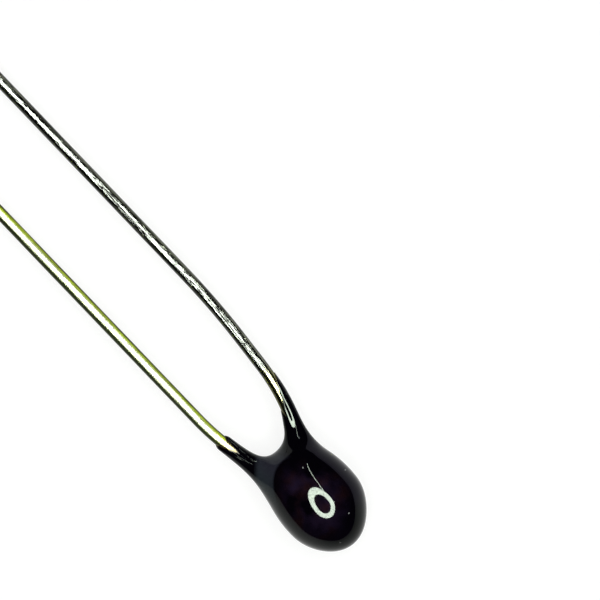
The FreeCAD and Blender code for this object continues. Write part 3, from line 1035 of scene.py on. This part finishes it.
def dark_room(stage):
    """A dim room, with a little light in it that only fills shadows."""
    world = bpy.data.worlds.new("Dark room")
    bpy.context.scene.world = world
    nodes = emptied(world)
    path = nodes.add("ShaderNodeLightPath")
    strength = nodes.spread(
        path.outputs["Is Diffuse Ray"], 0.0, 1.0, stage.room_gleam, stage.room_fill)
    light = nodes.made("ShaderNodeBackground", {
        "Color": (1.0, 1.0, 1.0, 1.0), "Strength": strength})
    nodes.add("ShaderNodeOutputWorld", {"Surface": light})


def add_camera(stage):
    """Looks straight down on the part, turned as it lies in the picture."""
    data = bpy.data.cameras.new("Camera")
    data.sensor_width = 36.0
    data.lens = data.sensor_width * stage.camera_height / stage.frame_width
    data.clip_start = 1.0 * MM
    data.clip_end = 20.0
    camera = bpy.data.objects.new("Camera", data)
    aim = drawing_plane() @ Vector((-stage.frame_back, stage.frame_aside, 0.0))
    middle = drawing_plane().translation
    camera.location = (aim.x, aim.y, middle.z + stage.camera_height)
    camera.rotation_euler = (0.0, 0.0, stage.camera_turn)
    bpy.context.collection.objects.link(camera)
    bpy.context.scene.camera = camera


# Operators

class ThermistorOperator:
    bl_options = {"REGISTER", "UNDO"}


class THERMISTOR_OT_add_wires(ThermistorOperator, bpy.types.Operator):
    """Sweeps the two drawn wires, one grey and one olive"""

    bl_idname = "thermistor.add_wires"
    bl_label = "Add wires"

    def execute(self, context):
        wires = context.scene.thermistor_wires
        grey = wire_finish("Grey wire", (wires.painted_grey_shade, wires.grey, wires.painted_pale_reflection),
                           wires.a_roughness, wires.a_marks, wires.a_seed)
        olive = wire_finish("Olive wire", (wires.painted_olive_shade, wires.cream, wires.green),
                            wires.b_roughness, wires.b_marks, wires.b_seed)
        wire_a = swept_wire(
            "wire_a", wire_a_path(wires), wires, grey, wires.a_marks, wires.a_seed)
        wire_b = swept_wire(
            "wire_b", wire_b_path(wires), wires, olive, wires.b_marks, wires.b_seed)
        for piece, node, slot in (
                (wire_a, "lead_a", "grey_wire"), (wire_b, "lead_b", "olive_wire")):
            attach(piece, "root")
            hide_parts(node)
        return {"FINISHED"}


class THERMISTOR_OT_add_coating(ThermistorOperator, bpy.types.Operator):
    """Draws the skin of the dipped epoxy over the bead, the web and both necks"""

    bl_idname = "thermistor.add_coating"
    bl_label = "Add epoxy coating"

    def execute(self, context):
        scene = context.scene
        rows, thickness = Epoxy(scene.thermistor_wires, scene.thermistor_coating).skin()
        points = laid_at_rest(rows.reshape(-1, 3))
        faces = tube_faces(*rows.shape[:2])
        if enclosed_volume(points, faces) < 0:
            faces = [tuple(reversed(face)) for face in faces]
        finish = epoxy_finish(scene.thermistor_coating)
        coating = mesh_piece("epoxy_coating", points, faces, finish)
        stored = coating.data.attributes.new("epoxy_thickness", "FLOAT", "POINT")
        stored.data.foreach_set("value", thickness.astype(np.float32))
        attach(coating, "root")
        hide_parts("coating")
        return {"FINISHED"}


class THERMISTOR_OT_finish_chip(ThermistorOperator, bpy.types.Operator):
    """Gives the chip, its electrodes and the solder their finishes"""

    bl_idname = "thermistor.finish_chip"
    bl_label = "Finish chip and solder"

    def execute(self, context):
        ceramic = grainy_finish(
            "Sintered oxide", scale=40000.0, detail=5.0, roughness=0.7, contrast=0.2,
            colours=((0.030, 0.026, 0.024), (0.10, 0.085, 0.07)), rough=(0.75, 0.6),
            metallic=0.0, depth=0.004 * MM)
        silver = grainy_finish(
            "Fired silver", scale=60000.0, detail=3.0, roughness=0.5, contrast=0.2,
            colours=((0.62, 0.60, 0.56), (0.82, 0.80, 0.76)), rough=(0.5, 0.38),
            metallic=1.0, depth=0.002 * MM)
        solder = grainy_finish(
            "Solder", scale=12000.0, detail=4.0, roughness=0.6, contrast=0.15,
            colours=((0.50, 0.50, 0.49), (0.70, 0.70, 0.68)), rough=(0.18, 0.4),
            metallic=1.0, depth=0.003 * MM)
        finishes = {
            "chip": (ceramic, "ceramic"),
            "electrode_a": (silver, "silver"),
            "electrode_b": (silver, "silver"),
            "solder_a": (solder, "solder"),
            "solder_b": (solder, "solder"),
        }
        for name, (finish, slot) in finishes.items():
            node = frame["nodes"][name]
            node.data.materials.clear()
            node.data.materials.append(finish)
        return {"FINISHED"}


class THERMISTOR_OT_set_stage(ThermistorOperator, bpy.types.Operator):
    """Sets the white table, the ring lamp, the dim room and the camera"""

    bl_idname = "thermistor.set_stage"
    bl_label = "Set stage"

    def execute(self, context):
        stage = context.scene.thermistor_stage
        profile = [(0.01 * MM, 0.0), (0.5 * stage.table_radius, 0.0), (stage.table_radius, 0.0),
                   (stage.table_radius, stage.table_edge)]
        table = turned_mesh("table", profile, stage.steps, table_finish(stage))
        table.data.shade_flat()
        light = ring_lamp(
            "ring_light", stage, lamp_finish("Ring light", stage.ring_tint, stage.ring_light))
        hide_from(light, "glossy")
        gleam = ring_lamp(
            "ring_gleam", stage, lamp_finish("Ring gleam", stage.ring_tint, stage.ring_gleam))
        hide_from(gleam, "diffuse")
        lamp_cord(stage, gleam.data.materials[0])
        dark_room(stage)
        add_camera(stage)
        context.scene.view_settings.view_transform = "Standard"
        return {"FINISHED"}


class THERMISTOR_PT_panel(bpy.types.Panel):
    bl_label = "Thermistor"
    bl_idname = "THERMISTOR_PT_panel"
    bl_space_type = "VIEW_3D"
    bl_region_type = "UI"
    bl_category = "Thermistor"

    def draw(self, context):
        for operator in OPERATORS:
            self.layout.operator(operator.bl_idname)


SETTINGS = {
    "thermistor_wires": WireSettings,
    "thermistor_coating": CoatingSettings,
    "thermistor_stage": StageSettings,
}
OPERATORS = (
    THERMISTOR_OT_add_wires,
    THERMISTOR_OT_add_coating,
    THERMISTOR_OT_finish_chip,
    THERMISTOR_OT_set_stage,
)


def register():
    for owned in (*SETTINGS.values(), *OPERATORS, THERMISTOR_PT_panel):
        bpy.utils.register_class(owned)
    for name, settings in SETTINGS.items():
        setattr(bpy.types.Scene, name, PointerProperty(type=settings))


def unregister():
    for name in SETTINGS:
        delattr(bpy.types.Scene, name)
    for owned in reversed((*SETTINGS.values(), *OPERATORS, THERMISTOR_PT_panel)):
        bpy.utils.unregister_class(owned)


def main():
    register()
    bpy.ops.thermistor.add_wires()
    bpy.ops.thermistor.add_coating()
    bpy.ops.thermistor.finish_chip()
    bpy.ops.thermistor.set_stage()


if __name__ == "__main__":
    main()
